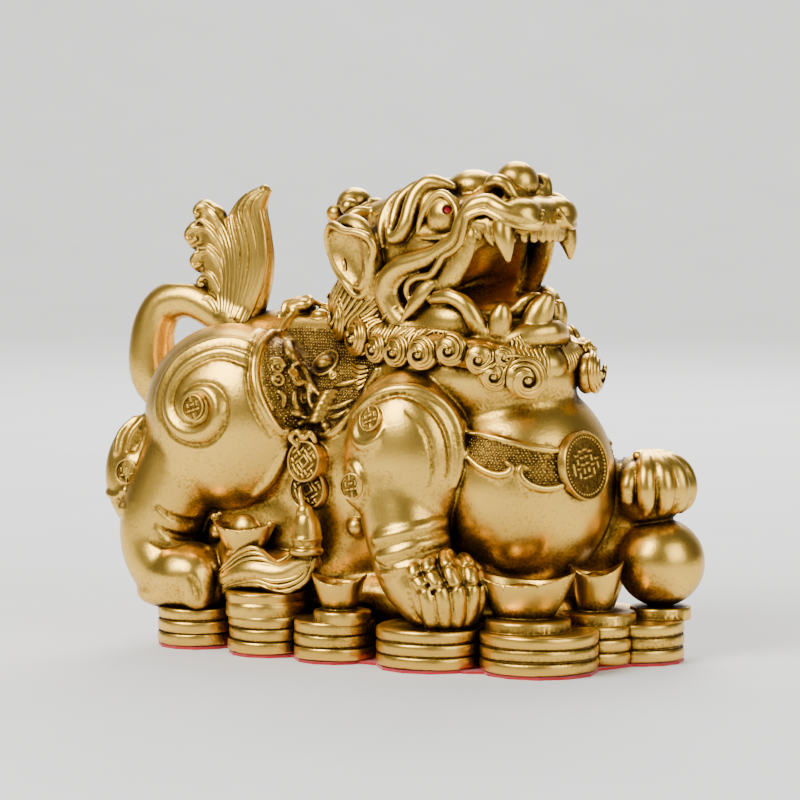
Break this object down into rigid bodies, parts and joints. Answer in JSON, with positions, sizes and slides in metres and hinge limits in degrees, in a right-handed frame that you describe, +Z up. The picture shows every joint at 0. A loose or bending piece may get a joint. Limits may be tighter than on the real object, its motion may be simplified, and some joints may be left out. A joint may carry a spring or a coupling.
{
  "type": "pixiu figure",
  "caption": "Cast pixiu with an open mouth, curled tail and one paw on a ball, standing on a bed of stacked coins and ingots; a desk ornament on a felt sole.",
  "frame": {"origin": "middle of the coin bed, on the underside of the felt sole", "axes": "+Z up, +X towards the head, +Y to the figure's own left"},
  "size_m": [0.1858, 0.0924, 0.1472],
  "materials": {
    "brass": "satin, polished on the high places, with a dark brown patina in the hollows",
    "felt": "short red pile",
    "red_glass": "polished, faceted"
  },
  "bodies": {
    "root": {"casting": "brass", "felt_sole": "felt", "right_eye_stone": "red_glass", "left_eye_stone": "red_glass"}
  },
  "joints": []
}
